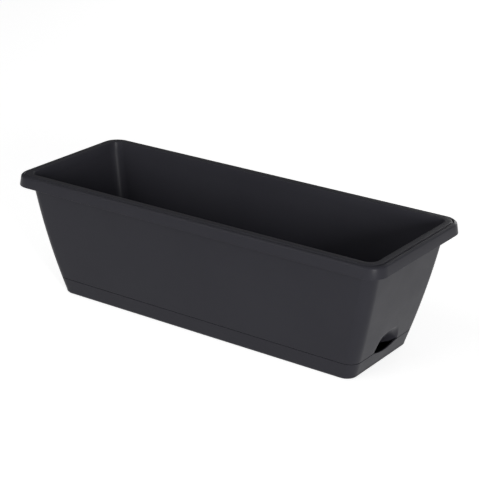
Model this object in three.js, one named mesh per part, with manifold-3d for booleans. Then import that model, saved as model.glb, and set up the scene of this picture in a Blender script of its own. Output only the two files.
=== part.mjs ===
// Window box planter: a tapered trough that stands in a flush saucer.
// Millimetres, +Z up. X runs along the planter, -Y is the long front side and the
// watering scoop is in the +X end. The origin is the middle of the base, on the floor.

import * as THREE from 'three';
import { mergeVertices } from 'three/addons/utils/BufferGeometryUtils.js';
import Module from 'manifold-3d';

const wasm = await Module();
wasm.setup();

// ---------------------------------------------------------------- overall size
const RIM_LENGTH = 500;            // over the flared foot of the skirt
const RIM_WIDTH = 188;
const HEIGHT = 150;
const SEAM_HEIGHT = 20.6;          // where trough and saucer meet, seen from outside

// ---------------------------------------------------------------- outer walls
const BASE_LENGTH = 407.5;         // walls carried down to the floor
const BASE_WIDTH = 124.5;
const BASE_CORNER = 13.7;
const WALL_UNDERCUT = 13.1;        // how far the skirt's foot stands out from the wall
const WALL_TOP_CORNER = 15.7;
const END_BULGE = 2.2;             // how far the end walls bow out at half height
const SIDE_BULGE = 1.95;           // the same for the long walls

// ---------------------------------------------------------------- rim
const SKIRT_DEPTH = 13.65;
const SKIRT_FLARE = 1.45;          // the skirt leans out by this from top to foot
const SKIRT_WALL = 1.9;
const SKIRT_FOOT_ROUND = 0.5;
const RIM_CORNER = 20;
const RIM_TOP_WIDTH = 13;          // from the skirt's outer face to the mouth
const MOUTH_CORNER = 11.5;
const MOUTH_ROUND = 0.9;
const SHOULDER_ROUND = 3.2;        // rounded outer edge of the rim
const SHOULDER_DROP = 0.35;        // the shoulder stands a little lower than the bead
const GROOVE_DEPTH = 0.9;          // narrow groove between shoulder and bead
const GROOVE_WIDTH = 2.2;
const GROOVE_FLOOR = 1.0;
const RIM_THICKNESS = 2.7;         // top plate, groove included

// ---------------------------------------------------------------- trough
const TROUGH_WALL = 2.0;
const FLOOR_THICKNESS = 2.2;
const FLOOR_FILLET = 4;
const SMALLEST_CORNER = 2;
const COLLAR_SOFTENING = 4;        // height over which the collar turns into the taper
const OVERFLOW_MARGIN = 0.4;       // the floor's underside stays this far above the overflow

// ---------------------------------------------------------------- saucer
const SAUCER_WALL = 2.0;
const SAUCER_FLOOR = 2.0;
const UNDERSIDE_LET_IN = 1.2;      // the underside is let in by this inside the foot band
const FOOT_BAND = 9;
const BOTTOM_ROUND = 4;            // rounding of the outer bottom edge
const SAUCER_FILLET = 3;
const SAUCER_LIP_ROUND = 0.4;

// ---------------------------------------------------------------- fits
const FIT_CLEARANCE = 0.4;         // the trough's spigot inside the saucer, each side
const REST_GAP = 0.3;              // drawn between faces that touch on the real thing

// ---------------------------------------------------------------- watering scoop
const SCOOP_HALF_WIDTH = 26;
const SCOOP_HEIGHT = 21;           // above the seam, on the end wall
const SCOOP_SQUARENESS = 3.6;      // the higher, the flatter the arch's top
const SCOOP_RUNOUT = 1.3;          // above 1, the arch's sides run out at their feet
const SCOOP_LEAN = 0.53;           // extra run inward for each unit down
const DIP_HALF_WIDTH = 25;
const DIP_DEPTH = 4.5;             // the saucer's edge dips by this and sets the overflow
const DIP_OVERRUN = 0.3;
const CUT_MARGIN = 2;              // how far a cutter runs past what it cuts

// ---------------------------------------------------------------- wicking feet and holes
const WICK_COUNT = 4;
const WICK_PITCH = 92;
const WICK_LENGTH = 46;
const WICK_WIDTH = 30;
const WICK_CORNER = 9;
const WICK_TAPER = 3;              // each side of a foot leans in by this
const WICK_WALL = 1.8;
const SLOT_WIDTH = 3;
const SLOT_HEIGHT = 6;
const SLOTS_PER_SIDE = 2;
const SLOT_PITCH = 14;
const FRAME_HEIGHT = 1.4;          // low frame on the saucer's floor round each foot
const FRAME_WIDTH = 1.4;
const FRAME_CLEARANCE = 0.8;
const DRAIN_RADIUS = 3.5;
const DRAIN_COLUMNS = 6;
const DRAIN_PITCH = 62;
const DRAIN_ROW_OFFSET = 38;

// ---------------------------------------------------------------- smoothness
const CORNER_STEPS = 8;
const SMALL_CORNER_STEPS = 3;
const WALL_STEPS = 7;
const ARC_STEPS = 5;
const FILLET_STEPS = 3;
const CURVE_STEPS = 24;
const HOLE_SIDES = 14;

// ---------------------------------------------------------------- derived sizes
const SKIRT_FOOT_Z = HEIGHT - SKIRT_DEPTH;
const TOP_LENGTH = RIM_LENGTH - 2 * SKIRT_FLARE;
const TOP_WIDTH = RIM_WIDTH - 2 * SKIRT_FLARE;
const WALL_TOP_LENGTH = RIM_LENGTH - 2 * WALL_UNDERCUT;
const WALL_TOP_WIDTH = RIM_WIDTH - 2 * WALL_UNDERCUT;
const TROUGH_SEAT_Z = SEAM_HEIGHT + REST_GAP / 2;
const SAUCER_TOP_Z = SEAM_HEIGHT - REST_GAP / 2;
const OVERFLOW_Z = SAUCER_TOP_Z - DIP_DEPTH;
const TROUGH_BOTTOM_Z = OVERFLOW_Z + OVERFLOW_MARGIN;
const FLOOR_TOP_Z = TROUGH_BOTTOM_Z + FLOOR_THICKNESS;
const SAUCER_FLOOR_Z = UNDERSIDE_LET_IN + SAUCER_FLOOR;
const WICK_BOTTOM_Z = SAUCER_FLOOR_Z + REST_GAP;
const WICK_INSIDE_Z = WICK_BOTTOM_Z + WICK_WALL;
const FIT_INSET = SAUCER_WALL + FIT_CLEARANCE;

const QUARTER_TURN = Math.PI / 2;

// ================================================================ helpers

/** One level of a loft: a rounded rectangle at one height. */
function level(length, width, corner, z) {
  return { length, width, corner, z };
}

/** The same level made smaller on every side, its corners kept parallel. */
function inset(outline, amount, z = outline.z) {
  return level(
    outline.length - 2 * amount,
    outline.width - 2 * amount,
    Math.max(outline.corner - amount, SMALLEST_CORNER),
    z,
  );
}

/** Points round one level, anticlockwise from above, mirrored in X and in Y. */
function outlinePoints({ length, width, corner, z }, steps) {
  const points = [];
  const centres = [[1, 1], [-1, 1], [-1, -1], [1, -1]];
  centres.forEach(([sx, sy], quarter) => {
    for (let i = 0; i <= steps; i += 1) {
      const angle = QUARTER_TURN * (quarter + i / steps);
      const x = sx * (length / 2 - corner) + corner * Math.cos(angle);
      const y = sy * (width / 2 - corner) + corner * Math.sin(angle);
      points.push(new THREE.Vector3(x, y, z));
    }
  });
  return points;
}

/** Closed body through a list of levels, with a flat cap on the first and the last. */
function loft(levels, steps = CORNER_STEPS) {
  const rings = levels.map((one) => outlinePoints(one, steps));
  const count = rings[0].length;
  const positions = rings.flat().flatMap((p) => [p.x, p.y, p.z]);
  const index = [];
  for (let k = 0; k + 1 < rings.length; k += 1) {
    for (let i = 0; i < count; i += 1) {
      const a = k * count + i;
      const b = k * count + ((i + 1) % count);
      index.push(a, b, b + count, a, b + count, a + count);
    }
  }
  const last = (rings.length - 1) * count;
  for (let i = 0; i + 1 < count / 2; i += 1) {
    const far = count - 1 - i;
    index.push(i, far, far - 1, i, far - 1, i + 1);
    index.push(last + i, last + far - 1, last + far, last + i, last + i + 1, last + far - 1);
  }
  const geometry = new THREE.BufferGeometry();
  geometry.setAttribute('position', new THREE.Float32BufferAttribute(positions, 3));
  geometry.setIndex(index);
  return toSolid(geometry);
}

/** A three.js geometry as a solid that can be added, cut and intersected. */
function toSolid(geometry) {
  geometry.deleteAttribute('normal');
  geometry.deleteAttribute('uv');
  const merged = mergeVertices(geometry);
  const vertProperties = new Float32Array(merged.attributes.position.array);
  const triVerts = new Uint32Array(merged.index.array);
  return new wasm.Manifold(new wasm.Mesh({ numProp: 3, vertProperties, triVerts }));
}

/** A solid as a named mesh with its own material. */
function toMesh(name, solid, material) {
  const data = solid.getMesh();
  const geometry = new THREE.BufferGeometry();
  geometry.setAttribute('position', new THREE.Float32BufferAttribute(data.vertProperties, 3));
  geometry.setIndex(new THREE.Uint32BufferAttribute(data.triVerts, 1));
  geometry.computeVertexNormals();
  const mesh = new THREE.Mesh(geometry, material);
  mesh.name = name;
  return mesh;
}

/** A shape drawn in Y and Z, pushed from one X to another and rising by `climb` per unit. */
function pushedShape(outline, fromX, toX, climb) {
  const shape = new THREE.Shape(outline.map(([y, z]) => new THREE.Vector2(y, z)));
  const geometry = new THREE.ExtrudeGeometry(shape, {
    depth: toX - fromX,
    bevelEnabled: false,
    steps: 1,
  });
  const placed = new THREE.Matrix4().set(
    0, 0, 1, fromX,
    1, 0, 0, 0,
    0, 1, climb, 0,
    0, 0, 0, 1,
  );
  geometry.applyMatrix4(placed);
  return toSolid(geometry);
}

/** Box with its middle at (x, y, z). */
function box(sizeX, sizeY, sizeZ, x, y, z) {
  const geometry = new THREE.BoxGeometry(sizeX, sizeY, sizeZ);
  geometry.translate(x, y, z);
  return toSolid(geometry);
}

/** Upright round pin, for cutting holes. */
function pin(radius, fromZ, toZ, x, y) {
  const geometry = new THREE.CylinderGeometry(radius, radius, toZ - fromZ, HOLE_SIDES);
  geometry.rotateX(QUARTER_TURN);
  geometry.translate(x, y, (fromZ + toZ) / 2);
  return toSolid(geometry);
}

/** Outline of the scoop's mouth: 1 over its flat top, 0 at its feet. */
function arch(distance, halfWidth) {
  const share = Math.min(Math.abs(distance) / halfWidth, 1);
  return (1 - share ** SCOOP_SQUARENESS) ** SCOOP_RUNOUT;
}

/** 1 in the middle, 0 at the edges, a single shallow curve. */
function sagging(distance, halfWidth) {
  return Math.cos((QUARTER_TURN * distance) / halfWidth);
}

/** Evenly spaced values from `first` to `last`, both included. */
function spread(first, last, steps) {
  return Array.from({ length: steps + 1 }, (_, i) => first + ((last - first) * i) / steps);
}

/** `count` places `pitch` apart, centred on zero. */
function centredRow(count, pitch) {
  return Array.from({ length: count }, (_, i) => (i - (count - 1) / 2) * pitch);
}

// ================================================================ outlines

/** Outer wall at height z: a straight taper with a slight bow. */
function wallLevel(z) {
  const t = z / SKIRT_FOOT_Z;
  const bow = 4 * t * (1 - t);
  return level(
    THREE.MathUtils.lerp(BASE_LENGTH, WALL_TOP_LENGTH, t) + 2 * END_BULGE * bow,
    THREE.MathUtils.lerp(BASE_WIDTH, WALL_TOP_WIDTH, t) + 2 * SIDE_BULGE * bow,
    THREE.MathUtils.lerp(BASE_CORNER, WALL_TOP_CORNER, t),
    z,
  );
}

/** Rim at `inward` from the skirt's outer face, measured at the top of the skirt. */
function rimLevel(inward, z) {
  const share = inward / RIM_TOP_WIDTH;
  return level(
    TOP_LENGTH - 2 * inward,
    TOP_WIDTH - 2 * inward,
    THREE.MathUtils.lerp(RIM_CORNER, MOUTH_CORNER, share),
    z,
  );
}

/** Spigot at the trough's foot, the part that drops into the saucer. */
function spigotOutline(z) {
  return inset(wallLevel(z), FIT_INSET, z);
}

/** Spigot and outer wall, from the underside to below the rim. */
function outerWallLevels() {
  const wall = spread(TROUGH_SEAT_Z, SKIRT_FOOT_Z, WALL_STEPS).map(wallLevel);
  return [spigotOutline(TROUGH_BOTTOM_Z), spigotOutline(TROUGH_SEAT_Z), ...wall];
}

/** Underside of the rim and both faces of its skirt. */
function skirtLevels() {
  const underside = HEIGHT - RIM_THICKNESS;
  const collarOutside = RIM_TOP_WIDTH - TROUGH_WALL;
  const shoulderZ = HEIGHT - SHOULDER_DROP - SHOULDER_ROUND;
  return [
    rimLevel(collarOutside, underside),
    rimLevel(SKIRT_WALL + SHOULDER_ROUND / 2, underside),
    rimLevel(SKIRT_WALL, shoulderZ),
    rimLevel(SKIRT_WALL - SKIRT_FLARE, SKIRT_FOOT_Z + SKIRT_FOOT_ROUND),
    rimLevel(SKIRT_WALL - SKIRT_FLARE - SKIRT_FOOT_ROUND, SKIRT_FOOT_Z),
    rimLevel(SKIRT_FOOT_ROUND - SKIRT_FLARE, SKIRT_FOOT_Z),
    rimLevel(-SKIRT_FLARE, SKIRT_FOOT_Z + SKIRT_FOOT_ROUND),
  ];
}

/** Rounded shoulder, groove and bead, then over the edge into the mouth. */
function rimTopLevels() {
  const shoulder = spread(0, QUARTER_TURN, ARC_STEPS).map((angle) => rimLevel(
    SHOULDER_ROUND * (1 - Math.cos(angle)),
    HEIGHT - SHOULDER_DROP - SHOULDER_ROUND * (1 - Math.sin(angle)),
  ));
  const slope = (GROOVE_WIDTH - GROOVE_FLOOR) / 2;
  const grooveZ = HEIGHT - GROOVE_DEPTH;
  const mouth = spread(0, QUARTER_TURN, FILLET_STEPS).map((angle) => rimLevel(
    RIM_TOP_WIDTH - MOUTH_ROUND * (1 - Math.sin(angle)),
    HEIGHT - MOUTH_ROUND * (1 - Math.cos(angle)),
  ));
  return [
    ...shoulder,
    rimLevel(SHOULDER_ROUND + slope, grooveZ),
    rimLevel(SHOULDER_ROUND + slope + GROOVE_FLOOR, grooveZ),
    rimLevel(SHOULDER_ROUND + GROOVE_WIDTH, HEIGHT),
    ...mouth,
  ];
}

/** Inside of the trough: nearly upright collar, taper, rounded edge of the floor. */
function innerWallLevels() {
  const collarFoot = SKIRT_FOOT_Z + COLLAR_SOFTENING / 2;
  const taperTop = SKIRT_FOOT_Z - COLLAR_SOFTENING / 2;
  const filletTop = FLOOR_TOP_Z + FLOOR_FILLET;
  const share = COLLAR_SOFTENING / 2 / SKIRT_DEPTH;
  const mouth = rimLevel(RIM_TOP_WIDTH, HEIGHT);
  const turn = inset(wallLevel(SKIRT_FOOT_Z), TROUGH_WALL);
  const collar = level(
    THREE.MathUtils.lerp(turn.length, mouth.length, share),
    THREE.MathUtils.lerp(turn.width, mouth.width, share),
    THREE.MathUtils.lerp(turn.corner, mouth.corner, share),
    collarFoot,
  );
  const taper = spread(taperTop, filletTop, WALL_STEPS)
    .map((z) => inset(troughSideLevel(z), TROUGH_WALL));
  const floor = inset(troughSideLevel(FLOOR_TOP_Z), TROUGH_WALL);
  const fillet = spread(0, QUARTER_TURN, FILLET_STEPS).slice(1).map((angle) => inset(
    floor,
    FLOOR_FILLET * (1 - Math.cos(angle)),
    FLOOR_TOP_Z + FLOOR_FILLET * (1 - Math.sin(angle)),
  ));
  return [collar, ...taper, ...fillet];
}

/** Outer face that the trough's inside follows: the wall, drawn in to the spigot below it. */
function troughSideLevel(z) {
  const start = TROUGH_SEAT_Z + FLOOR_FILLET + FLOOR_THICKNESS;
  const share = THREE.MathUtils.clamp((start - z) / (start - FLOOR_TOP_Z), 0, 1);
  return inset(wallLevel(z), FIT_INSET * share, z);
}

// ================================================================ watering scoop

/** Half length of the end wall at height z. */
function endWallX(z) {
  return wallLevel(z).length / 2;
}

/** Everything under a sloping arched roof. `grown` thickens it for the liner. */
function scoopBody(grown) {
  const wallX = endWallX(SEAM_HEIGHT);
  const wallRun = (endWallX(SEAM_HEIGHT + SCOOP_HEIGHT) - wallX) / SCOOP_HEIGHT;
  const climb = 1 / (wallRun + SCOOP_LEAN);
  const rise = SCOOP_HEIGHT * (1 - climb * wallRun);
  const lift = grown * Math.hypot(1, climb);
  const halfWidth = SCOOP_HALF_WIDTH + grown;
  const outerX = endWallX(SEAM_HEIGHT + SCOOP_HEIGHT + lift) + CUT_MARGIN;
  const innerX = wallX - (SEAM_HEIGHT + rise + lift - TROUGH_BOTTOM_Z) / climb - CUT_MARGIN;
  const deepest = TROUGH_BOTTOM_Z - CUT_MARGIN - climb * (outerX - wallX);
  const shift = climb * (innerX - wallX);
  const roof = spread(-halfWidth, halfWidth, CURVE_STEPS)
    .map((y) => [y, SEAM_HEIGHT + lift + rise * arch(y, halfWidth) + shift]);
  const outline = [[-halfWidth, deepest + shift], ...roof, [halfWidth, deepest + shift]];
  return pushedShape(outline.reverse(), innerX, outerX, climb);
}

/** The scoop's wall inside the trough, kept within the trough's outer faces. */
function scoopLiner() {
  const envelope = loft(outerWallLevels());
  return scoopBody(TROUGH_WALL).intersect(envelope);
}

/** Cutter for the shallow dip in the saucer's edge below the scoop. */
function saucerDip() {
  const fromX = endWallX(OVERFLOW_Z) - SAUCER_WALL - 2 * CUT_MARGIN;
  const toX = endWallX(SEAM_HEIGHT) + CUT_MARGIN;
  const ceiling = SAUCER_TOP_Z + DIP_OVERRUN;
  const sag = DIP_DEPTH + DIP_OVERRUN;
  const curve = spread(-DIP_HALF_WIDTH, DIP_HALF_WIDTH, CURVE_STEPS)
    .map((y) => [y, ceiling - sag * sagging(y, DIP_HALF_WIDTH)]);
  const top = ceiling + CUT_MARGIN;
  const outline = [...curve, [DIP_HALF_WIDTH, top], [-DIP_HALF_WIDTH, top]];
  return pushedShape(outline, fromX, toX, 0);
}

// ================================================================ wicking feet

/** A foot's outline at height z, `inward` from its outer face. */
function wickLevel(z, inward) {
  const share = (TROUGH_BOTTOM_Z - z) / (TROUGH_BOTTOM_Z - WICK_BOTTOM_Z);
  const outer = level(WICK_LENGTH, WICK_WIDTH, WICK_CORNER, z);
  return inset(outer, WICK_TAPER * share + inward, z);
}

/** Hollow foot, joined to the floor, without its hollow. */
function wickBody() {
  const inFloor = TROUGH_BOTTOM_Z + FLOOR_THICKNESS / 2;
  const levels = [WICK_BOTTOM_Z, TROUGH_BOTTOM_Z, inFloor].map((z) => wickLevel(z, 0));
  return loft(levels, SMALL_CORNER_STEPS);
}

/** The soil space inside a foot, open through the floor, and its water slots. */
function wickHollow() {
  const levels = [WICK_INSIDE_Z, FLOOR_TOP_Z + CUT_MARGIN].map((z) => wickLevel(z, WICK_WALL));
  const across = WICK_WIDTH + 2 * CUT_MARGIN;
  const middleZ = WICK_INSIDE_Z + SLOT_HEIGHT / 2;
  const slots = centredRow(SLOTS_PER_SIDE, SLOT_PITCH)
    .map((x) => box(SLOT_WIDTH, across, SLOT_HEIGHT, x, 0, middleZ));
  return [loft(levels, SMALL_CORNER_STEPS), ...slots].reduce((all, one) => all.add(one));
}

/** Low frame on the saucer's floor that keeps one foot in its place. */
function wickFrame() {
  const foot = wickLevel(WICK_BOTTOM_Z, -FRAME_CLEARANCE);
  const root = SAUCER_FLOOR_Z - SAUCER_FLOOR / 2;
  const top = SAUCER_FLOOR_Z + FRAME_HEIGHT;
  const outside = inset(foot, -FRAME_WIDTH);
  const body = loft([inset(outside, 0, root), inset(outside, 0, top)], SMALL_CORNER_STEPS);
  const hole = loft(
    [inset(foot, 0, SAUCER_FLOOR_Z), inset(foot, 0, top + CUT_MARGIN)],
    SMALL_CORNER_STEPS,
  );
  return body.subtract(hole);
}

/** Pins that drill the drain holes through the trough's floor. */
function drainPins() {
  const fromZ = TROUGH_BOTTOM_Z - CUT_MARGIN;
  const toZ = FLOOR_TOP_Z + CUT_MARGIN;
  const columns = centredRow(DRAIN_COLUMNS, DRAIN_PITCH);
  const rows = [-DRAIN_ROW_OFFSET, DRAIN_ROW_OFFSET];
  return rows.flatMap((y) => columns.map((x) => pin(DRAIN_RADIUS, fromZ, toZ, x, y)));
}

// ================================================================ the two pieces

/** Trough: walls, rim, floor, scoop recess, wicking feet and drain holes in one moulding. */
function trough() {
  const shell = loft([
    ...outerWallLevels(),
    ...skirtLevels(),
    ...rimTopLevels(),
    ...innerWallLevels(),
  ]);
  const feet = centredRow(WICK_COUNT, WICK_PITCH);
  let solid = shell.add(scoopLiner());
  solid = solid.subtract(scoopBody(0));
  feet.forEach((x) => {
    solid = solid.add(wickBody().translate([x, 0, 0]));
  });
  feet.forEach((x) => {
    solid = solid.subtract(wickHollow().translate([x, 0, 0]));
  });
  drainPins().forEach((cutter) => {
    solid = solid.subtract(cutter);
  });
  return solid;
}

/** Saucer: shallow tray, flush with the walls above, on a raised foot band. */
function saucer() {
  const roundStart = wallLevel(BOTTOM_ROUND);
  const bottomRound = spread(QUARTER_TURN, 0, FILLET_STEPS).map((angle) => inset(
    roundStart,
    BOTTOM_ROUND * (1 - Math.cos(angle)),
    BOTTOM_ROUND * (1 - Math.sin(angle)),
  ));
  const band = inset(roundStart, BOTTOM_ROUND + FOOT_BAND, 0);
  const lip = wallLevel(SAUCER_TOP_Z);
  const inside = inset(wallLevel(SAUCER_FLOOR_Z), SAUCER_WALL);
  const fillet = spread(0, QUARTER_TURN, FILLET_STEPS).map((angle) => inset(
    inside,
    SAUCER_FILLET * (1 - Math.cos(angle)),
    SAUCER_FLOOR_Z + SAUCER_FILLET * (1 - Math.sin(angle)),
  ));
  const body = loft([
    inset(band, 0, UNDERSIDE_LET_IN),
    band,
    ...bottomRound,
    wallLevel(SEAM_HEIGHT / 2),
    inset(lip, 0, SAUCER_TOP_Z - SAUCER_LIP_ROUND),
    inset(lip, SAUCER_LIP_ROUND),
    inset(lip, SAUCER_WALL - SAUCER_LIP_ROUND),
    inset(lip, SAUCER_WALL, SAUCER_TOP_Z - SAUCER_LIP_ROUND),
    ...fillet,
  ]);
  let solid = body.subtract(saucerDip());
  centredRow(WICK_COUNT, WICK_PITCH).forEach((x) => {
    solid = solid.add(wickFrame().translate([x, 0, 0]));
  });
  return solid;
}

/** Dull charcoal moulded plastic. */
function charcoalPlastic() {
  return new THREE.MeshStandardMaterial({ color: 0x3a3a3e, roughness: 0.55, metalness: 0 });
}

const group = new THREE.Group();
group.name = 'window_box_planter';
group.add(toMesh('saucer', saucer(), charcoalPlastic()));
group.add(toMesh('trough', trough(), charcoalPlastic()));

export default group;
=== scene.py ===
"""Window box planter: a tapered trough in a flush saucer that is filled through a scoop.

Metres, +Z up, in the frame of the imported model. X runs along the planter, -Y is its
long front side, and the watering scoop is in the +X end.
"""
import logging
import math
from collections.abc import Iterator, Sequence
from dataclasses import astuple, dataclass, field, replace
from enum import Enum

import bmesh
import bpy
from bmesh.types import BMEdge, BMesh, BMFace, BMVert
from mathutils import Matrix, Vector


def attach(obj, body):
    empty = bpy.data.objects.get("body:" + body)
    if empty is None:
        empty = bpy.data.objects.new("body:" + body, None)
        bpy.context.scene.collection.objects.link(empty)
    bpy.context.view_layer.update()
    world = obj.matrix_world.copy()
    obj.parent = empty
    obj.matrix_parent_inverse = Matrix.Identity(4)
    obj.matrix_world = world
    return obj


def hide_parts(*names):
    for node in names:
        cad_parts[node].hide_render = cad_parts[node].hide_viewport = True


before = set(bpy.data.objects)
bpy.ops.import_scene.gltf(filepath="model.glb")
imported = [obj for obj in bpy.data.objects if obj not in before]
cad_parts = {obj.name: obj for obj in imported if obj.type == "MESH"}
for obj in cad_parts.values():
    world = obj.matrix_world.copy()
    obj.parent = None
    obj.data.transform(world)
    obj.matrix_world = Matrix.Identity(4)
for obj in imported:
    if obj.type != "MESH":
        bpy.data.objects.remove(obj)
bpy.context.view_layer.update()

LOG = logging.getLogger("window_box_planter")

MM = 0.001
TINY = 1e-6
WELD = 0.008 * MM                 # points closer than this are one point
SHARP_ANGLE = math.radians(32)
ROUND_STEPS = 4
ROUND_WEIGHT = math.sqrt(0.5)     # makes the rounding of a square corner a true arc

Colour = tuple[float, float, float]


class Body(str, Enum):
    """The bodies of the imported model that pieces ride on."""

    SAUCER = "saucer_body"
    TROUGH = "trough_body"


# ------------------------------------------------------------------ small sums


def soft_min(a: float, b: float, blend: float) -> float:
    """The smaller of two values, with the corner between them rounded off.

    Args:
        a: One value.
        b: The other value.
        blend: Difference below which the rounding starts.

    Returns:
        The rounded smaller value.
    """
    if blend <= TINY * MM:
        return min(a, b)
    overlap = max(blend - abs(a - b), 0.0)
    return min(a, b) - overlap * overlap / (4 * blend)


def ease(value: float, start: float, end: float) -> float:
    """0 before `start`, 1 after `end`, and a smooth step between them.

    Args:
        value: Where to look.
        start: Where the step begins.
        end: Where the step is complete.

    Returns:
        The share of the step, from 0 to 1.
    """
    share = min(max((value - start) / (end - start), 0.0), 1.0)
    return share * share * (3 - 2 * share)


def spread(first: float, last: float, steps: int) -> list[float]:
    """Evenly spaced values from the first to the last, both included."""
    return [first + (last - first) * i / steps for i in range(steps + 1)]


def centred_row(count: int, pitch: float) -> list[float]:
    """Places a pitch apart, centred on zero."""
    return [(i - (count - 1) / 2) * pitch for i in range(count)]


def direction(azimuth: float, elevation: float) -> Vector:
    """The direction at an azimuth from -Y towards +X and an elevation, in degrees."""
    az, el = math.radians(azimuth), math.radians(elevation)
    level = math.cos(el)
    return Vector((math.sin(az) * level, -math.cos(az) * level, math.sin(el)))


# ------------------------------------------------------------------ outlines


@dataclass(frozen=True)
class Outline:
    """A rounded rectangle at one height, round its own middle."""

    length: float
    width: float
    corner: float
    z: float
    x: float = 0.0
    y: float = 0.0
    smallest_corner: float = 2 * MM

    def inset(self, amount: float, z: float | None = None) -> "Outline":
        """The outline drawn in on every side, its corners kept parallel.

        Args:
            amount: How far each side moves in.
            z: Height of the new outline, the same height if left out.

        Returns:
            The new outline.
        """
        return replace(
            self,
            length=self.length - 2 * amount,
            width=self.width - 2 * amount,
            corner=max(self.corner - amount, self.smallest_corner),
            z=self.z if z is None else z,
        )

    def mixed(self, other: "Outline", share: float) -> "Outline":
        """The outline part of the way to another."""
        pairs = zip(astuple(self), astuple(other))
        return Outline(*(a + (b - a) * share for a, b in pairs))

    def gap(self, other: "Outline") -> float:
        """Distance to another outline, seen in a cut through the wall."""
        return math.hypot((self.length - other.length) / 2, self.z - other.z)

    def carry(self, point: Vector, to: "Outline") -> Vector:
        """Moves a point of this outline to its place on another.

        A point keeps its share of a straight side, or its angle in a corner.

        Args:
            point: A point on this outline.
            to: The outline that it goes to.

        Returns:
            The point on the other outline.
        """
        here = (point.x - self.x, point.y - self.y)
        old = (self.length / 2 - self.corner, self.width / 2 - self.corner)
        new = (to.length / 2 - to.corner, to.width / 2 - to.corner)
        root = [min(max(h, -o), o) for h, o in zip(here, old)]
        out = Vector([h - r for h, r in zip(here, root)]).normalized()
        share = [r / o if o > TINY else 0.0 for r, o in zip(root, old)]
        flat = [s * n + d * to.corner for s, n, d in zip(share, new, out)]
        return Vector((flat[0] + to.x, flat[1] + to.y, to.z))


@dataclass(frozen=True)
class Turn:
    """A corner in the cut through a wall, and the length over which it is rounded."""

    at: Outline
    soft: float = 0.0

    def outlines(self, before: Outline, after: Outline) -> Iterator[Outline]:
        """The outlines that round this corner.

        Args:
            before: The corner before this one.
            after: The corner after this one.

        Yields:
            The outlines, in order.
        """
        if self.soft <= 0:
            yield self.at
            return
        start = self.at.mixed(before, min(self.soft / self.at.gap(before), 1.0))
        end = self.at.mixed(after, min(self.soft / self.at.gap(after), 1.0))
        steps = ROUND_STEPS if self.soft < MM else 2 * ROUND_STEPS
        for t in spread(0.0, 1.0, steps):
            first, middle, last = (1 - t) ** 2, 2 * t * (1 - t) * ROUND_WEIGHT, t * t
            chord = start.mixed(end, last / (first + last))
            yield chord.mixed(self.at, middle / (first + middle + last))


def rounded(turns: Sequence[Turn]) -> list[Outline]:
    """Outlines along a cut through a wall, with its corners rounded.

    Args:
        turns: The corners in order. The first and the last stay sharp.

    Returns:
        The outlines in the same order.
    """
    path = [turns[0].at]
    for before, turn, after in zip(turns, turns[1:], turns[2:]):
        path.extend(turn.outlines(before.at, after.at))
    path.append(turns[-1].at)
    return path


# ------------------------------------------------------------------ skins


@dataclass(frozen=True)
class Fineness:
    """How many points an outline gets in its corners and on its sides."""

    corner: int = 12
    long_side: int = 24
    left_end: int = 10
    right_end: int = 10


class Skin:
    """A skin drawn out of a first outline, one loop of edges after another.

    Starting a skin ends every earlier one in the same mesh, because the bevel that
    makes its corners renews all of the mesh's points.
    """

    def __init__(self, bm: BMesh, first: Outline, fine: Fineness) -> None:
        """Starts the skin with a loop of edges on its first outline.

        Args:
            bm: The mesh that the skin belongs to.
            first: Outline that the skin starts from.
            fine: How many points the loop gets.
        """
        self.bm = bm
        self.outline = first
        self.edges = self._begin(fine)
        start = list({v for e in self.edges for v in e.verts})
        self.loops: list[tuple[Outline, list[BMVert]]] = [(first, start)]

    def _begin(self, fine: Fineness) -> list[BMEdge]:
        """Makes the first loop of edges.

        Args:
            fine: How many points the loop gets.

        Returns:
            The edges of the loop.
        """
        at = self.outline
        known = set(self.bm.edges)
        place = Matrix.LocRotScale((at.x, at.y, at.z), None, (at.length, at.width, 1.0))
        corners = bmesh.ops.create_grid(
            self.bm, x_segments=1, y_segments=1, size=0.5, matrix=place
        )["verts"]
        bmesh.ops.bevel(
            self.bm, geom=corners, offset=at.corner, offset_type="OFFSET",
            segments=fine.corner, profile=0.5, affect="VERTICES", material=-1,
        )
        self._divide_sides([e for e in self.bm.edges if e not in known], fine)
        loop = [e for e in self.bm.edges if e not in known]
        sheet = list({f for e in loop for f in e.link_faces})
        bmesh.ops.delete(self.bm, geom=sheet, context="FACES_ONLY")
        return loop

    def _divide_sides(self, loop: list[BMEdge], fine: Fineness) -> None:
        """Adds points to the straight sides of the first loop.

        Args:
            loop: The edges of the loop.
            fine: How many points each side gets.
        """
        at = self.outline
        for edge in loop:
            middle = (edge.verts[0].co + edge.verts[1].co) / 2
            if abs(abs(middle.y - at.y) - at.width / 2) < TINY:
                cuts = fine.long_side
            elif abs(middle.x - at.x - at.length / 2) < TINY:
                cuts = fine.right_end
            elif abs(middle.x - at.x + at.length / 2) < TINY:
                cuts = fine.left_end
            else:
                continue
            bmesh.ops.subdivide_edges(self.bm, edges=[edge], cuts=cuts)

    def draw_to(self, outline: Outline) -> None:
        """Draws the open edge of the skin out to the next outline.

        Args:
            outline: Where the edge goes.
        """
        made = bmesh.ops.extrude_edge_only(self.bm, edges=self.edges)["geom"]
        fresh = {g for g in made if isinstance(g, BMVert)}
        self.edges = [
            g for g in made if isinstance(g, BMEdge) and fresh.issuperset(g.verts)
        ]
        for face in (g for g in made if isinstance(g, BMFace)):
            face.smooth = True
        for vert in fresh:
            vert.co = self.outline.carry(vert.co, outline)
        self.outline = outline
        self.loops.append((outline, list(fresh)))

    def draw(self, outlines: Sequence[Outline]) -> "Skin":
        """Draws the skin through outlines in turn and returns it."""
        for outline in outlines:
            self.draw_to(outline)
        return self

    def close(self) -> None:
        """Closes the open edge of the skin with one flat face."""
        made = bmesh.ops.edgeloop_fill(self.bm, edges=self.edges)
        for face in made["faces"]:
            face.smooth = False


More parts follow.
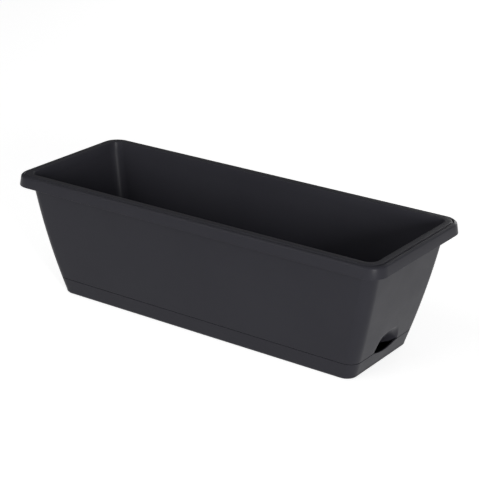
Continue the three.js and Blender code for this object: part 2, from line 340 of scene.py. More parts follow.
def fill_level(bm: BMesh, z: float) -> None:
    """Closes the flat region between all the open edges at one height.

    Args:
        bm: The mesh that the edges belong to.
        z: The height.
    """
    rim = [v for v in bm.verts if v.is_boundary and abs(v.co.z - z) < TINY]
    bmesh.ops.remove_doubles(bm, verts=rim, dist=WELD)
    edges = [
        e for e in bm.edges
        if e.is_boundary and all(abs(v.co.z - z) < TINY for v in e.verts)
    ]
    made = bmesh.ops.triangle_fill(
        bm, use_beauty=True, use_dissolve=False, normal=(0, 0, 1), edges=edges
    )
    for item in made["geom"]:
        if isinstance(item, BMFace):
            item.smooth = False


def open_skin(bm: BMesh, path: Sequence[Outline], fine: Fineness) -> Skin:
    """Draws a skin through a whole path of outlines and leaves both its edges open."""
    return Skin(bm, path[0], fine).draw(path[1:])


# ------------------------------------------------------------------ shared forms


@dataclass(frozen=True)
class WallForm:
    """The outer face that trough and saucer share: a taper with a slight bow."""

    base_length: float = 407.5 * MM
    base_width: float = 124.5 * MM
    base_corner: float = 13.7 * MM
    top_length: float = 473.8 * MM
    top_width: float = 161.8 * MM
    top_corner: float = 15.7 * MM
    top_z: float = 136.35 * MM
    end_bulge: float = 2.2 * MM
    side_bulge: float = 1.95 * MM
    seam_z: float = 20.6 * MM
    rest_gap: float = 0.55 * MM       # wider than the solids' gap, to show as a line
    bottom_z: float = 16.35 * MM
    fit_inset: float = 2.4 * MM

    @property
    def seat_z(self) -> float:
        """Height of the trough's edge above the seam."""
        return self.seam_z + self.rest_gap / 2

    @property
    def lip_z(self) -> float:
        """Height of the saucer's edge below the seam."""
        return self.seam_z - self.rest_gap / 2

    def at(self, z: float) -> Outline:
        """The outer wall's outline at a height.

        Args:
            z: The height.

        Returns:
            The outline there.
        """
        t = z / self.top_z
        bow = 4 * t * (1 - t)
        base = Outline(self.base_length, self.base_width, self.base_corner, z)
        top = Outline(self.top_length, self.top_width, self.top_corner, z)
        flat = base.mixed(top, t)
        return replace(
            flat,
            length=flat.length + 2 * self.end_bulge * bow,
            width=flat.width + 2 * self.side_bulge * bow,
        )

    def spigot(self, z: float) -> Outline:
        """Outline of the trough's foot, which drops into the saucer."""
        return self.at(z).inset(self.fit_inset)

    def end_x(self, z: float) -> float:
        """How far out the end wall's outer face is at a height."""
        return self.at(z).length / 2

    def slid(self, point: Vector, z: float) -> Vector:
        """Moves a point of the end wall to another height along the wall's face."""
        step = self.end_x(z) - self.end_x(point.z)
        return Vector((point.x + step, point.y, z))


@dataclass(frozen=True)
class Scoop:
    """The recess in the end wall that water is poured into."""

    wall: WallForm
    half_width: float = 26 * MM
    height: float = 21 * MM
    squareness: float = 3.6           # the higher, the flatter the arch's top
    runout: float = 1.3               # above 1, the arch's sides run out at their feet
    lean: float = 0.53
    edge_round: float = 0.55 * MM     # rounding of the crease over the top
    side_round: float = 2.4 * MM      # and down the sides
    inner_round: float = 1.6 * MM
    side_start: float = 9 * MM
    side_end: float = 18 * MM
    fade_start: float = 20 * MM
    calm_start: float = 23.4 * MM
    level_height: float = 10 * MM     # the level of points that is pulled to the crease
    tip_height: float = 1.1 * MM      # the same level at the scoop's two tips
    reach_up: float = 30 * MM         # above the seat, points stay where they are
    calm_width: float = 50 * MM       # and beyond this from the middle

    @property
    def wall_run(self) -> float:
        """How far the wall moves out for each unit up, beside the scoop."""
        low = self.wall.seam_z
        return (self.wall.end_x(low + self.height) - self.wall.end_x(low)) / self.height

    @property
    def climb(self) -> float:
        """How far the roof rises for each unit outward."""
        return 1 / (self.wall_run + self.lean)

    @property
    def rise(self) -> float:
        """How far the roof's middle line stands above its edges."""
        return self.height * (1 - self.climb * self.wall_run)

    def arch(self, y: float, grown: float = 0.0) -> float:
        """Outline of the mouth: 1 over its flat top, 0 at its feet.

        Args:
            y: Place across the end wall.
            grown: Thickness of the wall behind the roof, 0 for its outer face.

        Returns:
            The height there, as a share of the full height.
        """
        share = min(abs(y) / (self.half_width + grown), 1.0)
        return (1 - share ** self.squareness) ** self.runout

    def softness(self, y: float, grown: float) -> float:
        """How far the crease is rounded at one place.

        Args:
            y: Place across the end wall.
            grown: Thickness of the wall behind the roof, 0 for its outer face.

        Returns:
            The rounding.
        """
        top = self.inner_round if grown else self.edge_round
        down_the_side = ease(y, self.side_start, self.side_end)
        amount = top + (self.side_round - top) * down_the_side
        return amount * (1 - ease(y, self.fade_start, self.half_width + grown))

    def roof_x(self, y: float, z: float, grown: float) -> float:
        """Where the sloping roof of the recess is, at one place.

        Args:
            y: Place across the end wall.
            z: Height.
            grown: Thickness of the wall behind the roof, 0 for its outer face.

        Returns:
            The roof's distance from the middle of the planter.
        """
        lift = grown * math.hypot(1.0, self.climb)
        crown = self.rise * self.arch(y, grown)
        return self.wall.end_x(self.wall.seam_z) + (
            z - self.wall.seam_z - lift - crown
        ) / self.climb

    def align(self, verts: Sequence[BMVert]) -> None:
        """Pulls points of the end wall so that one level of them follows the crease.

        Args:
            verts: Points of the outer wall above the seat.
        """
        seat = self.wall.seat_z
        for vert in verts:
            up = vert.co.z - seat
            if vert.co.x < 0 or not 0 <= up < self.reach_up:
                continue
            if abs(vert.co.y) > self.calm_width:
                continue
            crest = max(self.height * self.arch(vert.co.y), self.tip_height)
            calm = ease(abs(vert.co.y), self.calm_start, self.calm_width)
            level = crest + (self.level_height - crest) * calm
            if up <= self.level_height:
                new = up * level / self.level_height
            else:
                share = (up - self.level_height) / (self.reach_up - self.level_height)
                new = level + (self.reach_up - level) * share
            vert.co = self.wall.slid(vert.co, seat + new)

    def carve(self, verts: Sequence[BMVert], grown: float) -> None:
        """Presses the recess into points of the end wall.

        Args:
            verts: Points of one face of the end wall.
            grown: Thickness of the wall behind the recess, 0 on the outer face.
        """
        for vert in verts:
            y = abs(vert.co.y)
            if vert.co.x < 0 or y >= self.half_width + grown:
                continue
            roof = self.roof_x(y, vert.co.z, grown)
            vert.co.x = soft_min(vert.co.x, roof, self.softness(y, grown))


# ------------------------------------------------------------------ finishes


class Tree:
    """A node tree that is filled by name."""

    def __init__(self, tree: bpy.types.NodeTree) -> None:
        """Empties a node tree and keeps it."""
        self.tree = tree
        tree.nodes.clear()

    def add(self, kind: str, **settings: object) -> bpy.types.Node:
        """Adds a node.

        Args:
            kind: The node's type.
            settings: Its settings. A name that is a socket sets that socket.

        Returns:
            The node.
        """
        node = self.tree.nodes.new(kind)
        for name, value in settings.items():
            label = name.replace("_", " ")
            if hasattr(node, name):
                setattr(node, name, value)
            else:
                node.inputs[label].default_value = value
        return node

    def link(self, start: bpy.types.NodeSocket, end: bpy.types.NodeSocket) -> None:
        """Joins an output to an input."""
        self.tree.links.new(start, end)


@dataclass(frozen=True)
class MouldedPlastic:
    """Charcoal polypropylene from a mould with a fine, dull texture."""

    name: str
    base: Colour = (0.0258, 0.0254, 0.0313)
    cloud: Colour = (0.0278, 0.0275, 0.0336)
    cloud_scale: float = 11.0
    roughness_low: float = 0.33
    roughness_high: float = 0.41
    specular: float = 0.09
    ior: float = 1.49
    cloud_range: tuple[float, float] = (0.35, 0.65)
    patch_finer: float = 2.3          # dull patches are this much finer than the clouds
    patch_range: tuple[float, float] = (0.3, 0.7)
    noise_roughness: float = 0.55
    grain_strength: float = 0.7
    grain_scale: float = 1500.0
    grain_depth: float = 0.035 * MM
    wave_scale: float = 38.0
    wave_depth: float = 0.10 * MM
    seed: float = 0.0

    def build(self) -> bpy.types.Material:
        """Makes the material.

        Returns:
            The material.
        """
        material = bpy.data.materials.new(self.name)
        material.use_nodes = True
        sheet = Tree(material.node_tree)
        place = sheet.add("ShaderNodeTexCoord").outputs["Object"]
        shader = sheet.add("ShaderNodeBsdfPrincipled")
        shader.inputs["Specular IOR Level"].default_value = self.specular
        shader.inputs["IOR"].default_value = self.ior
        out = sheet.add("ShaderNodeOutputMaterial")
        sheet.link(shader.outputs["BSDF"], out.inputs["Surface"])
        self._colour(sheet, place, shader)
        self._roughness(sheet, place, shader)
        self._relief(sheet, place, shader)
        return material

    def _noise(
        self, sheet: Tree, place: bpy.types.NodeSocket, scale: float, detail: float
    ) -> bpy.types.Node:
        """Adds a noise that belongs to this finish.

        Args:
            sheet: The material's nodes.
            place: Coordinates that it reads.
            scale: Its scale, per metre.
            detail: How many finer layers it has.

        Returns:
            The noise node.
        """
        noise = sheet.add(
            "ShaderNodeTexNoise", noise_dimensions="4D", W=self.seed + scale,
            Scale=scale, Detail=detail, Roughness=self.noise_roughness,
        )
        sheet.link(place, noise.inputs["Vector"])
        return noise

    def _colour(
        self, sheet: Tree, place: bpy.types.NodeSocket, shader: bpy.types.Node
    ) -> None:
        """Clouds the colour a little, as pigment in the melt does.

        Args:
            sheet: The material's nodes.
            place: Coordinates that the pattern reads.
            shader: The shader that gets the colour.
        """
        cloud = self._noise(sheet, place, self.cloud_scale, 3.0)
        ramp = sheet.add("ShaderNodeValToRGB")
        stops = zip(ramp.color_ramp.elements, self.cloud_range, (self.base, self.cloud))
        for stop, position, colour in stops:
            stop.position = position
            stop.color = (*colour, 1.0)
        sheet.link(cloud.outputs["Fac"], ramp.inputs["Fac"])
        sheet.link(ramp.outputs["Color"], shader.inputs["Base Color"])

    def _roughness(
        self, sheet: Tree, place: bpy.types.NodeSocket, shader: bpy.types.Node
    ) -> None:
        """Varies the dullness in patches.

        Args:
            sheet: The material's nodes.
            place: Coordinates that the pattern reads.
            shader: The shader that gets the roughness.
        """
        patches = self._noise(sheet, place, self.cloud_scale * self.patch_finer, 4.0)
        low, high = self.patch_range
        spread_out = sheet.add(
            "ShaderNodeMapRange", From_Min=low, From_Max=high,
            To_Min=self.roughness_low, To_Max=self.roughness_high,
        )
        sheet.link(patches.outputs["Fac"], spread_out.inputs["Value"])
        sheet.link(spread_out.outputs["Result"], shader.inputs["Roughness"])

    def _relief(
        self, sheet: Tree, place: bpy.types.NodeSocket, shader: bpy.types.Node
    ) -> None:
        """Adds the mould's grain, and the faint waviness of a thin moulded wall.

        Args:
            sheet: The material's nodes.
            place: Coordinates that the pattern reads.
            shader: The shader that gets the relief.
        """
        waves = sheet.add("ShaderNodeBump", Strength=1.0, Distance=self.wave_depth)
        slow = self._noise(sheet, place, self.wave_scale, 1.0)
        sheet.link(slow.outputs["Fac"], waves.inputs["Height"])
        grain = sheet.add(
            "ShaderNodeBump", Strength=self.grain_strength, Distance=self.grain_depth
        )
        fine = self._noise(sheet, place, self.grain_scale, 2.0)
        sheet.link(fine.outputs["Fac"], grain.inputs["Height"])
        sheet.link(waves.outputs["Normal"], grain.inputs["Normal"])
        sheet.link(grain.outputs["Normal"], shader.inputs["Normal"])


# ------------------------------------------------------------------ pieces


@dataclass
class Moulding:
    """A piece that comes out of one mould: a closed skin on one body."""

    piece_name: str
    body: Body
    node: str
    slot: str
    finish: MouldedPlastic

    def shape(self, bm: BMesh) -> None:
        """Builds the piece's mesh. Each moulding has its own way."""
        raise NotImplementedError

    def build(self) -> bpy.types.Object:
        """Makes the piece, dresses it and puts it on its body.

        Returns:
            The finished object.
        """
        bm = bmesh.new()
        self.shape(bm)
        bmesh.ops.remove_doubles(bm, verts=bm.verts, dist=WELD)
        bmesh.ops.recalc_face_normals(bm, faces=bm.faces)
        loose = sum(1 for e in bm.edges if len(e.link_faces) != 2)
        mesh = bpy.data.meshes.new(self.piece_name)
        bm.to_mesh(mesh)
        bm.free()
        mesh.set_sharp_from_angle(angle=SHARP_ANGLE)
        mesh.materials.append(self.finish.build())
        piece = bpy.data.objects.new(self.piece_name, mesh)
        bpy.context.scene.collection.objects.link(piece)
        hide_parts(self.node)
        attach(piece, self.body.value)
        LOG.info(
            "%s: %d faces, %d open edges, on %s",
            self.piece_name, len(mesh.polygons), loose, self.body.value,
        )
        return piece


@dataclass(frozen=True)
class WickingFeet:
    """Hollow feet under the trough that draw water up into the soil."""

    count: int = 4
    pitch: float = 92 * MM
    length: float = 46 * MM
    width: float = 30 * MM
    corner: float = 9 * MM
    taper: float = 3 * MM
    wall: float = 1.8 * MM
    bottom_z: float = 3.5 * MM
    root_z: float = 16.35 * MM
    floor_z: float = 18.55 * MM
    slot_width: float = 3 * MM
    slot_height: float = 6 * MM
    slot_pitch: float = 14 * MM
    slot_reach: float = 0.1 * MM      # a slot's cover face is this near its middle
    edge_round: float = 0.5 * MM
    foot_round: float = 1.2 * MM
    fine: Fineness = Fineness(corner=6, long_side=4, left_end=4, right_end=4)

    @property
    def places(self) -> list[float]:
        """Where the feet stand along the trough."""
        return centred_row(self.count, self.pitch)

    @property
    def inside_z(self) -> float:
        """Height of the floor inside a foot."""
        return self.bottom_z + self.wall

    def at(self, x: float, z: float, inward: float = 0.0) -> Outline:
        """A foot's outline.

        Args:
            x: Where the foot stands.
            z: Height of the outline.
            inward: How far inside the foot's outer face it is.

        Returns:
            The outline.
        """
        share = (self.root_z - z) / (self.root_z - self.bottom_z)
        outer = Outline(self.length, self.width, self.corner, z, x)
        return outer.inset(self.taper * share + inward)

    def build(self, bm: BMesh, x: float) -> None:
        """Builds one foot with its hollow and its water slots.

        Args:
            bm: The trough's mesh.
            x: Where the foot stands.
        """
        slot_top = self.inside_z + self.slot_height
        self._skin(bm, x, [
            Turn(self.at(x, self.root_z)),
            Turn(self.at(x, slot_top)),
            Turn(self.at(x, self.inside_z)),
            Turn(self.at(x, self.bottom_z), self.foot_round),
            Turn(self.at(x, self.bottom_z, 3 * self.foot_round)),
        ])
        self._skin(bm, x, [
            Turn(self.at(x, self.floor_z, self.wall - 2 * self.edge_round)),
            Turn(self.at(x, self.floor_z, self.wall), self.edge_round),
            Turn(self.at(x, slot_top, self.wall)),
            Turn(self.at(x, self.inside_z, self.wall)),
        ])
        for side in (-1, 1):
            for slot in centred_row(2, self.slot_pitch):
                self._open_slot(bm, x + slot, side)

    def _skin(self, bm: BMesh, x: float, turns: Sequence[Turn]) -> None:
        """Draws one face of a foot, with points at the edges of its slots.

        Args:
            bm: The trough's mesh.
            x: Where the foot stands.
            turns: The corners of the foot's cut that the skin follows.
        """
        path = rounded(turns)
        skin = Skin(bm, path[0], self.fine)
        edges = [
            slot + side * self.slot_width / 2
            for slot in centred_row(2, self.slot_pitch)
            for side in (-1, 1)
        ]
        half = path[0].width / 2
        straight = path[0].length / 2 - path[0].corner
        for side in (-1, 1):
            row = sorted(
                (v for v in skin.loops[0][1]
                 if abs(v.co.y - side * half) < TINY
                 and abs(v.co.x - x) < straight - TINY),
                key=lambda v: v.co.x,
            )
            for vert, place in zip(row, edges):
                vert.co.x = x + place
        skin.draw(path[1:]).close()

    def _open_slot(self, bm: BMesh, x: float, side: int) -> None:
        """Cuts one water slot through a foot's wall.

        Args:
            bm: The trough's mesh.
            x: Middle of the slot.
            side: 1 for the back of the foot, -1 for its front.
        """
        z = self.inside_z + self.slot_height / 2
        covers = []
        for face in bm.faces:
            middle = face.calc_center_median()
            if middle.y * side < 0 or abs(middle.y) > self.width / 2:
                continue
            if math.hypot(middle.x - x, middle.z - z) < self.slot_reach:
                covers.append(face)
        rims = [e for face in covers for e in face.edges]
        bmesh.ops.delete(bm, geom=covers, context="FACES_ONLY")
        bmesh.ops.bridge_loops(bm, edges=rims)


@dataclass(frozen=True)
class DrainHoles:
    """Two rows of round holes in the trough's floor."""

    radius: float = 3.5 * MM
    columns: int = 6
    pitch: float = 62 * MM
    row_offset: float = 38 * MM
    edge_round: float = 0.4 * MM
    steps: int = 8

    @property
    def places(self) -> list[tuple[float, float]]:
        """Middle of each hole."""
        columns = centred_row(self.columns, self.pitch)
        return [(x, side * self.row_offset) for side in (-1, 1) for x in columns]

    def build(
        self, bm: BMesh, place: tuple[float, float], top_z: float, bottom_z: float
    ) -> None:
        """Builds the wall of one hole.

        Args:
            bm: The trough's mesh.
            place: Middle of the hole.
            top_z: Height of the floor.
            bottom_z: Height of the floor's underside.
        """
        bore = Outline(2 * self.radius, 2 * self.radius, self.radius, top_z, *place)
        mouth = bore.inset(-2 * self.edge_round)
        skin = Skin(bm, mouth, Fineness(self.steps, long_side=0, left_end=0, right_end=0))
        skin.draw(rounded([
            Turn(mouth),
            Turn(bore, self.edge_round),
            Turn(replace(bore, z=bottom_z), self.edge_round),
            Turn(replace(mouth, z=bottom_z)),
        ])[1:])


@dataclass
class Trough(Moulding):
    """The trough: walls, rim, floor, scoop recess, wicking feet and drain holes."""

    wall: WallForm = field(default_factory=WallForm)
    feet: WickingFeet = field(default_factory=WickingFeet)
    drains: DrainHoles = field(default_factory=DrainHoles)
    height: float = 150 * MM
    rim_length: float = 497.1 * MM        # over the top of the skirt
    rim_width: float = 185.1 * MM
    rim_corner: float = 20 * MM
    rim_top_width: float = 13 * MM
    rim_thickness: float = 2.7 * MM
    mouth_corner: float = 11.5 * MM
    mouth_round: float = 0.7 * MM
    skirt_wall: float = 1.9 * MM
    skirt_flare: float = 1.45 * MM
    shoulder_round: float = 2.9 * MM
    shoulder_drop: float = 0.35 * MM
    shoulder_lean: float = 0.46 * MM      # how far in the shoulder's corner would be
    roof_outer_round: float = 1.3 * MM    # hollow underside of the rim, by the skirt
    roof_inner_round: float = 1.0 * MM    # and by the wall
    skirt_round: float = 0.5 * MM
    groove_edge_round: float = 0.3 * MM
    groove_floor_round: float = 0.25 * MM
    groove_start: float = 3.35 * MM
    groove_width: float = 2.2 * MM
    groove_floor: float = 1.0 * MM
    groove_depth: float = 1.2 * MM
    wall_thickness: float = 2.0 * MM
    floor_z: float = 18.55 * MM
    floor_fillet: float = 4 * MM
    foot_round: float = 0.5 * MM
    seat_round: float = 0.45 * MM
    collar_round: float = 2.2 * MM
    scoop_levels: int = 30
    upper_levels: int = 12
    fine: Fineness = Fineness(right_end=112)

    def rim(self, inward: float, z: float) -> Outline:
        """The rim's outline.

        Args:
            inward: Distance from the skirt's outer face, at the top of the skirt.
            z: Height.

        Returns:
            The outline.
        """
        share = inward / self.rim_top_width
        return Outline(
            self.rim_length - 2 * inward,
            self.rim_width - 2 * inward,
            self.rim_corner + (self.mouth_corner - self.rim_corner) * share,
            z,
        )

    def foot_path(self) -> list[Outline]:
        """Underside, spigot and the edge that sits on the saucer."""
        low = self.wall.spigot(self.wall.bottom_z)
        seat = self.wall.at(self.wall.seat_z)
        above = self.wall.seat_z + 2 * self.seat_round
        return rounded([
            Turn(low.inset(3 * self.foot_round)),
            Turn(low, self.foot_round),
            Turn(self.wall.spigot(self.wall.seat_z), self.seat_round),
            Turn(seat, self.seat_round),
            Turn(self.wall.at(above)),
        ])[:-1]

    def wall_path(self, scoop: Scoop) -> list[Outline]:
        """Outer wall, with close levels beside the scoop.

        Args:
            scoop: The scoop that the levels follow.

        Returns:
            The outlines from the seat to below the rim.
        """
        low = self.wall.seat_z + 2 * self.seat_round
        high = self.wall.seat_z + scoop.reach_up
        near = spread(low, high, self.scoop_levels)
        far = spread(high, self.wall.top_z, self.upper_levels)
        return [self.wall.at(z) for z in near + far[1:]]

    def rim_path(self) -> list[Outline]:
        """Hollow underside of the rim, skirt, shoulder, groove, bead and mouth."""
        foot_z = self.wall.top_z
        roof_z = self.height - self.rim_thickness
        shoulder_z = self.height - self.shoulder_drop
        groove_z = self.height - self.groove_depth
        groove_in = self.groove_start + (self.groove_width - self.groove_floor) / 2
        inner_foot = self.skirt_wall - self.skirt_flare
        groove_end = self.groove_start + self.groove_width
        return rounded([
            Turn(self.wall.at(foot_z)),
            Turn(self.rim(self.rim_top_width - self.wall_thickness, roof_z), self.roof_inner_round),
            Turn(self.rim(self.skirt_wall, roof_z), self.roof_outer_round),
            Turn(self.rim(inner_foot, foot_z), self.skirt_round),
            Turn(self.rim(-self.skirt_flare, foot_z), self.skirt_round),
            Turn(self.rim(self.shoulder_lean, shoulder_z), self.shoulder_round),
            Turn(self.rim(self.groove_start, shoulder_z), self.groove_edge_round),
            Turn(self.rim(groove_in, groove_z), self.groove_floor_round),
            Turn(self.rim(groove_in + self.groove_floor, groove_z), self.groove_floor_round),
            Turn(self.rim(groove_end, self.height), self.groove_edge_round),
            Turn(self.rim(self.rim_top_width, self.height), self.mouth_round),
            Turn(self.inner(foot_z)),
        ])[1:-1]

    def inner(self, z: float) -> Outline:
        """Inside of the trough's wall, drawn in to the spigot near the floor.

        Args:
            z: Height.

        Returns:
            The outline.
        """
        thickness = self.floor_z - self.wall.bottom_z
        start = self.wall.seat_z + self.floor_fillet + thickness
        share = min(max((start - z) / (start - self.floor_z), 0.0), 1.0)
        return self.wall.at(z).inset(self.wall.fit_inset * share + self.wall_thickness)

    def inner_path(self, scoop: Scoop) -> list[Outline]:
        """Collar, inner wall and the rounded edge of the floor.

        Args:
            scoop: The scoop that the close levels follow.

        Returns:
            The outlines from below the mouth to the floor.
        """
        turn = self.inner(self.wall.top_z)
        mouth = self.rim(self.rim_top_width, self.height)
        low = self.wall.seat_z + scoop.reach_up
        far = spread(self.wall.top_z, low, self.upper_levels)[1:]
        near = spread(low, self.floor_z + self.floor_fillet, self.scoop_levels // 2)[1:]
        upper = [self.inner(z) for z in far]
        collar = list(Turn(turn, self.collar_round).outlines(mouth, upper[0]))
        floor = self.inner(self.floor_z)
        edge = Turn(floor, self.floor_fillet)
        above = self.inner(self.floor_z + self.floor_fillet)
        corner = list(edge.outlines(above, floor.inset(2 * self.floor_fillet)))
        return collar + upper + [self.inner(z) for z in near][:-1] + corner

    def shape(self, bm: BMesh) -> None:
        """Builds the trough's mesh.

        Args:
            bm: The mesh to build in.
        """
        for x in self.feet.places:
            self.feet.build(bm, x)
        for place in self.drains.places:
            self.drains.build(bm, place, self.floor_z, self.wall.bottom_z)
        scoop = Scoop(self.wall)
        outside = self.foot_path() + self.wall_path(scoop) + self.rim_path()
        skin = open_skin(bm, outside, self.fine)
        outer_loops = len(skin.loops)
        skin.draw(self.inner_path(scoop))
        self._press_scoop(scoop, skin, outer_loops)
        fill_level(bm, self.floor_z)
        fill_level(bm, self.wall.bottom_z)

    def _press_scoop(self, scoop: Scoop, skin: Skin, outer_loops: int) -> None:
        """Presses the scoop through both faces of the end wall.

        Args:
            scoop: The scoop.
            skin: The trough's skin.
            outer_loops: How many of its loops belong to the outside.
        """
        top = self.wall.seat_z + scoop.reach_up + TINY
        for number, (outline, verts) in enumerate(skin.loops):
            if outline.z > top:
                continue
            if number >= outer_loops:
                scoop.carve(verts, self.wall_thickness)
                continue
            if outline.z >= self.wall.seat_z:
                scoop.align(verts)
            scoop.carve(verts, 0.0)


@dataclass
class Saucer(Moulding):
    """The saucer: a shallow tray on a foot band, its edge dipped under the scoop."""

    wall: WallForm = field(default_factory=WallForm)
    feet: WickingFeet = field(default_factory=WickingFeet)
    let_in: float = 1.2 * MM
    let_in_round: float = 0.48 * MM
    foot_band: float = 9 * MM
    bottom_round: float = 4 * MM
    floor_z: float = 3.2 * MM
    wall_thickness: float = 2.0 * MM
    fillet: float = 3 * MM
    lip_round: float = 0.4 * MM
    frame_height: float = 1.4 * MM
    frame_width: float = 1.4 * MM
    frame_clearance: float = 0.8 * MM
    frame_round: float = 0.3 * MM
    dip_half_width: float = 25 * MM
    dip_depth: float = 4.5 * MM
    dip_overrun: float = 0.3 * MM
    dip_root_z: float = 7 * MM
    wall_levels: int = 10
    fine: Fineness = Fineness(right_end=96)

    def outline_path(self) -> list[Outline]:
        """Underside, foot band, outer wall, edge, inner wall and floor."""
        base = self.wall.at(0.0)
        band = base.inset(self.bottom_round + self.foot_band)
        lip_z = self.wall.lip_z
        lip = self.wall.at(lip_z)
        low = self.wall.at(self.bottom_round)
        start = rounded([
            Turn(band.inset(2 * self.let_in, self.let_in)),
            Turn(band.inset(self.let_in_round, self.let_in), self.let_in_round),
            Turn(band, self.let_in_round),
            Turn(replace(low, z=0.0), self.bottom_round),
            Turn(low),
        ])
        outer = [self.wall.at(z) for z in self._levels()]
        edge = rounded([
            Turn(outer[-1]),
            Turn(lip, self.lip_round),
            Turn(lip.inset(self.wall_thickness), self.lip_round),
            Turn(outer[-1].inset(self.wall_thickness)),
        ])[1:-1]
        inner = [self.inner(z) for z in reversed(self._levels())]
        floor = self.inner(self.floor_z)
        above = self.inner(self.floor_z + self.fillet)
        corner = Turn(floor, self.fillet).outlines(above, floor.inset(2 * self.fillet))
        return start[:-1] + outer + edge + inner + list(corner)

    def _levels(self) -> list[float]:
        """Heights of the loops on the saucer's wall."""
        low = self.floor_z + self.fillet
        return spread(low, self.wall.lip_z - 1.5 * self.lip_round, self.wall_levels)

    def inner(self, z: float) -> Outline:
        """Inside of the saucer's wall at a height."""
        return self.wall.at(z).inset(self.wall_thickness)

    def dip(self, verts: Sequence[BMVert]) -> None:
        """Lowers the saucer's edge under the scoop, which also sets the overflow.

        Args:
            verts: Points of the saucer's wall.
        """
        lip_z = self.wall.lip_z
        sag = self.dip_depth + self.dip_overrun
        full_at = lip_z - self.lip_round - self.dip_root_z
        for vert in verts:
            if vert.co.x < 0 or abs(vert.co.y) >= self.dip_half_width:
                continue
            if vert.co.z <= self.dip_root_z:
                continue
            along = vert.co.y / self.dip_half_width
            edge_z = lip_z + self.dip_overrun - sag * math.cos(along * math.pi / 2)
            drop = lip_z - soft_min(lip_z, edge_z, self.dip_overrun)
            share = (vert.co.z - self.dip_root_z) / full_at
            vert.co = self.wall.slid(vert.co, vert.co.z - drop * min(share, 1.0))

    def frame(self, bm: BMesh, x: float) -> None:
        """Builds the low frame that keeps one foot in its place.

        Args:
            bm: The saucer's mesh.
            x: Where the foot stands.
        """
        foot = self.feet.at(x, self.feet.bottom_z).inset(-self.frame_clearance, self.floor_z)
        top_z = self.floor_z + self.frame_height
        outside = foot.inset(-self.frame_width)
        path = rounded([
            Turn(outside.inset(-self.frame_round)),
            Turn(outside, self.frame_round),
            Turn(replace(outside, z=top_z), self.frame_round),
            Turn(replace(foot, z=top_z), self.frame_round),
            Turn(foot, self.frame_round),
            Turn(foot.inset(self.frame_round)),
        ])
        open_skin(bm, path, self.feet.fine).close()

    def shape(self, bm: BMesh) -> None:
        """Builds the saucer's mesh.

        Args:
            bm: The mesh to build in.
        """
        for x in self.feet.places:
            self.frame(bm, x)
        skin = open_skin(bm, self.outline_path(), self.fine)
        for _, verts in skin.loops:
            self.dip(verts)
        fill_level(bm, self.floor_z)
        fill_level(bm, self.let_in)


# ------------------------------------------------------------------ studio


@dataclass(frozen=True)
class SoftBox:
    """A soft lamp with an even, rectangular face, aimed at the middle of the planter."""

    name: str
    azimuth: float
    elevation: float
    distance: float
    width: float
    height: float
    watts: float
    aim_z: float = 80 * MM

    def build(self) -> None:
        """Hangs the lamp."""
        light = bpy.data.lights.new(self.name, "AREA")
        light.shape = "RECTANGLE"
        light.size, light.size_y = self.width, self.height
        light.energy = self.watts
        lamp = bpy.data.objects.new(self.name, light)
        back = direction(self.azimuth, self.elevation)
        lamp.location = Vector((0.0, 0.0, self.aim_z)) + back * self.distance
        lamp.rotation_euler = back.to_track_quat("Z", "Y").to_euler()
        bpy.context.scene.collection.objects.link(lamp)
        LOG.info("%s: %.0f W", self.name, self.watts)


@dataclass(frozen=True)
class PaleFloor:
    """A wide pale floor that stays white round the planter and keeps its shadow."""

    size: float = 120.0
    colour: Colour = (0.60, 0.60, 0.60)
    glow: float = 0.74

    def build(self) -> None:
        """Lays the floor."""
        bm = bmesh.new()
        bmesh.ops.create_grid(bm, x_segments=1, y_segments=1, size=self.size / 2)
        mesh = bpy.data.meshes.new("studio_floor")
        bm.to_mesh(mesh)
        bm.free()
        mesh.materials.append(self._material())
        floor = bpy.data.objects.new("studio_floor", mesh)
        bpy.context.scene.collection.objects.link(floor)

    def _material(self) -> bpy.types.Material:
        """Matte white that glows a little for the camera and in reflections."""
        material = bpy.data.materials.new("floor_white")
        material.use_nodes = True
        sheet = Tree(material.node_tree)
        matte = sheet.add("ShaderNodeBsdfDiffuse", Color=(*self.colour, 1.0))
        glow = sheet.add("ShaderNodeEmission", Color=(1.0, 1.0, 1.0, 1.0))
        share = seen_by_eye(sheet, self.glow)
        both = sheet.add("ShaderNodeAddShader")
        out = sheet.add("ShaderNodeOutputMaterial")
        sheet.link(share, glow.inputs["Strength"])
        sheet.link(matte.outputs["BSDF"], both.inputs[0])
        sheet.link(glow.outputs["Emission"], both.inputs[1])
        sheet.link(both.outputs["Shader"], out.inputs["Surface"])
        return material


def seen_by_eye(sheet: Tree, strength: float) -> bpy.types.NodeSocket:
    """A strength for rays from the camera, from gloss and through glass, else 0.

    Args:
        sheet: The nodes of a material or of the world.
        strength: The strength for those rays.

    Returns:
        The socket that gives it.
    """
    path = sheet.add("ShaderNodeLightPath")
    total = path.outputs["Is Camera Ray"]
    for ray in ("Is Glossy Ray", "Is Transmission Ray"):
        either = sheet.add("ShaderNodeMath", operation="MAXIMUM")
        sheet.link(total, either.inputs[0])
        sheet.link(path.outputs[ray], either.inputs[1])
        total = either.outputs["Value"]
    scaled = sheet.add("ShaderNodeMath", operation="MULTIPLY")
    scaled.inputs[1].default_value = strength
    sheet.link(total, scaled.inputs[0])
    return scaled.outputs["Value"]


@dataclass(frozen=True)
class StudioAir:
    """Even light from all round."""

    colour: Colour = (1.0, 1.0, 1.0)
    strength: float = 0.175

    def build(self) -> None:
        """Sets the world."""
        world = bpy.data.worlds.new("studio_air")
        world.use_nodes = True
        sheet = Tree(world.node_tree)
        light = sheet.add(
            "ShaderNodeBackground", Color=(*self.colour, 1.0), Strength=self.strength
        )
        out = sheet.add("ShaderNodeOutputWorld")
        sheet.link(light.outputs["Background"], out.inputs["Surface"])
        bpy.context.scene.world = world


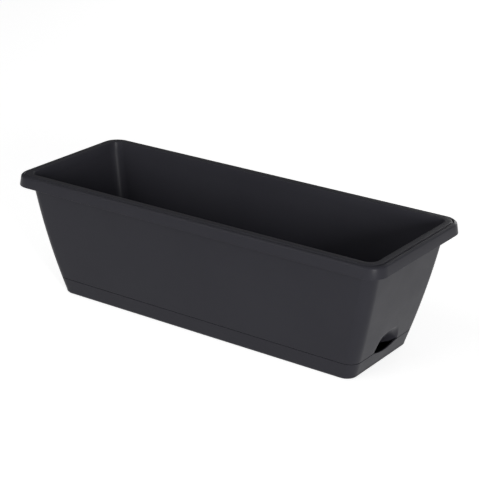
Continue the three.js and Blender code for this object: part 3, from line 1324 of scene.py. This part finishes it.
@dataclass(frozen=True)
class PhotoCamera:
    """The camera, at the photograph's angle."""

    place: tuple[float, float, float] = (0.9400, -1.3115, 0.7238)
    azimuth: float = 35.231
    elevation: float = 21.265
    roll: float = 0.655
    lens: float = 112.9
    sensor: float = 36.0

    def build(self) -> None:
        """Sets up the camera."""
        roll = math.radians(self.roll)
        back = direction(self.azimuth, self.elevation)
        right = (-back).cross(Vector((0.0, 0.0, 1.0))).normalized()
        up = right.cross(-back)
        leaned = right * math.cos(roll) + up * math.sin(roll)
        upright = up * math.cos(roll) - right * math.sin(roll)
        data = bpy.data.cameras.new("photo_camera")
        data.lens = self.lens
        data.sensor_width = self.sensor
        camera = bpy.data.objects.new("photo_camera", data)
        turn = Matrix((leaned, upright, back)).transposed()
        camera.matrix_world = Matrix.Translation(self.place) @ turn.to_4x4()
        bpy.context.scene.collection.objects.link(camera)
        bpy.context.scene.camera = camera


@dataclass(frozen=True)
class Studio:
    """Pale floor, soft lamps, even air and the camera."""

    floor: PaleFloor = PaleFloor()
    air: StudioAir = StudioAir()
    camera: PhotoCamera = PhotoCamera()
    lamps: tuple[SoftBox, ...] = (
        SoftBox("front_softbox", azimuth=-20, elevation=22, distance=2.2,
                width=1.6, height=1.0, watts=14.5),
        SoftBox("corner_striplight", azimuth=54, elevation=11, distance=3.0,
                width=0.30, height=0.9, watts=66),
        SoftBox("left_softbox", azimuth=-56, elevation=50, distance=2.0,
                width=0.7, height=0.5, watts=3.5),
        SoftBox("back_softbox", azimuth=180, elevation=12, distance=2.6,
                width=1.6, height=0.8, watts=22),
    )

    def build(self) -> None:
        """Sets the whole studio up."""
        self.floor.build()
        self.air.build()
        self.camera.build()
        for lamp in self.lamps:
            lamp.build()
        bpy.context.scene.view_settings.view_transform = "Standard"


def main() -> None:
    """Builds the planter and the studio round it."""
    logging.basicConfig(level=logging.INFO, format="%(name)s: %(message)s")
    Studio().build()
    saucer = Saucer(
        "saucer_moulding", Body.SAUCER, "saucer", "saucer_plastic",
        MouldedPlastic("charcoal_saucer_plastic", seed=3.7),
    )
    trough = Trough(
        "trough_moulding", Body.TROUGH, "trough", "trough_plastic",
        MouldedPlastic("charcoal_trough_plastic", seed=11.2),
    )
    for moulding in (saucer, trough):
        moulding.build()


if __name__ == "__main__":
    main()
